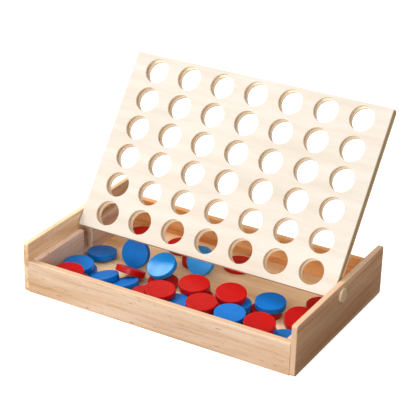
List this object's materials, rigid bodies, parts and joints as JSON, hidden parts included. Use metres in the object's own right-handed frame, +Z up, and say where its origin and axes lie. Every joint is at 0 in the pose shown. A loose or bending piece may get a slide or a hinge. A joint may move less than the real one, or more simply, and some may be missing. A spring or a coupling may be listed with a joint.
{
  "type": "four in a row game frame",
  "caption": "Shallow wooden tray with a grid of round holes that tilts on two dowel pins above it, and painted wooden playing discs lying loose in the tray.",
  "frame": {"origin": "middle of the tray's underside, on the table", "axes": "+X to the right along the rows of holes, +Y to the rear, +Z up"},
  "size_m": [0.2492, 0.1704, 0.1569],
  "materials": {
    "wall_wood": "matt, fine pale grain",
    "floor_wood": "matt",
    "liner_wood": "matt",
    "dowel_wood": "matt end grain",
    "sheet_wood": "smooth, very pale",
    "core_wood": "matt",
    "red_paint": "satin paint",
    "blue_paint": "satin paint"
  },
  "bodies": {
    "tray": {"front_wall": "wall_wood", "rear_wall": "wall_wood", "left_wall": "wall_wood", "right_wall": "wall_wood", "floor_panel": "floor_wood", "left_liner": "liner_wood", "right_liner": "liner_wood", "left_pivot_pin": "dowel_wood", "right_pivot_pin": "dowel_wood", "blue_disc_1": "blue_paint", "blue_disc_4": "blue_paint", "blue_disc_5": "blue_paint", "blue_disc_6": "blue_paint", "blue_disc_7": "blue_paint", "red_disc_2": "red_paint", "red_disc_8": "red_paint", "red_disc_9": "red_paint", "red_disc_10": "red_paint", "red_disc_11": "red_paint", "red_disc_12": "red_paint", "red_disc_14": "red_paint", "red_disc_15": "red_paint", "red_discs_beneath_1": "red_paint"},
    "grid": {"front_sheet": "sheet_wood", "rear_sheet": "sheet_wood", "left_stile": "core_wood", "right_stile": "core_wood", "bottom_rail": "core_wood", "divider_1": "core_wood", "divider_2": "core_wood", "divider_3": "core_wood", "divider_4": "core_wood", "divider_5": "core_wood", "divider_6": "core_wood"},
    "loose_discs": {"blue_disc_2": "blue_paint", "blue_disc_3": "blue_paint", "blue_disc_8": "blue_paint", "blue_disc_9": "blue_paint", "blue_disc_10": "blue_paint", "blue_disc_11": "blue_paint", "blue_disc_12": "blue_paint", "red_disc_1": "red_paint", "red_disc_3": "red_paint", "red_disc_4": "red_paint", "red_disc_5": "red_paint", "red_disc_6": "red_paint", "red_disc_7": "red_paint", "red_disc_13": "red_paint", "red_disc_16": "red_paint", "red_discs_beneath_2": "red_paint", "blue_discs_beneath": "blue_paint"}
  },
  "joints": [
    {"name": "grid_tilt", "type": "hinge", "parent": "tray", "child": "grid", "pos_m": [0, 0, 0.0335], "axis": [-1, 0, 0], "range_deg": [-36.8, 53.2]},
    {"name": "loose_discs_lift", "type": "slide", "parent": "tray", "child": "loose_discs", "axis": [0, 0, 1], "range_m": [0, 0.06]}
  ]
}
